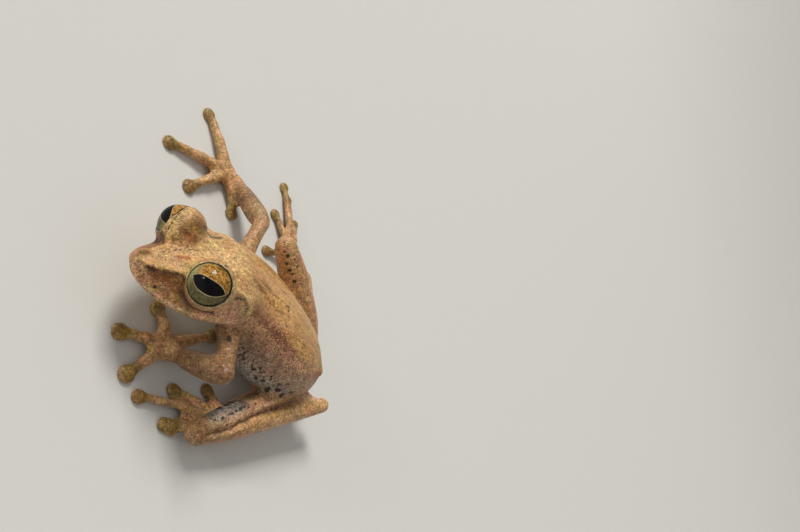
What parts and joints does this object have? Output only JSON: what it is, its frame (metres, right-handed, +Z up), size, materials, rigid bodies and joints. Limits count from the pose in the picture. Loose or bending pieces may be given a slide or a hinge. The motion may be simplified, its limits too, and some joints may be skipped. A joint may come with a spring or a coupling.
{
  "type": "gunthers banded treefrog",
  "caption": "Life-size still model of a treefrog, crouched low with its limbs spread and its head turned to its left.",
  "frame": {"origin": "on the floor, under the middle of the whole frog's footprint", "axes": "+X is the way the body faces, +Y is the frog's left, +Z is up"},
  "size_m": [0.0428, 0.056, 0.0169],
  "materials": {
    "skin": "moist satin, tan with brown mottling",
    "iris": "wet gloss, golden brown"
  },
  "bodies": {
    "root": {"head": "skin", "lower_jaw": "skin", "torso": "skin", "upper_arm_left": "skin", "forearm_left": "skin", "hand_left": "skin", "upper_arm_right": "skin", "forearm_right": "skin", "hand_right": "skin", "thigh_left": "skin", "shank_left": "skin", "tarsus_left": "skin", "foot_left": "skin", "thigh_right": "skin", "shank_right": "skin", "tarsus_right": "skin", "foot_right": "skin", "eye_left": "iris", "eye_right": "iris"}
  },
  "joints": []
}
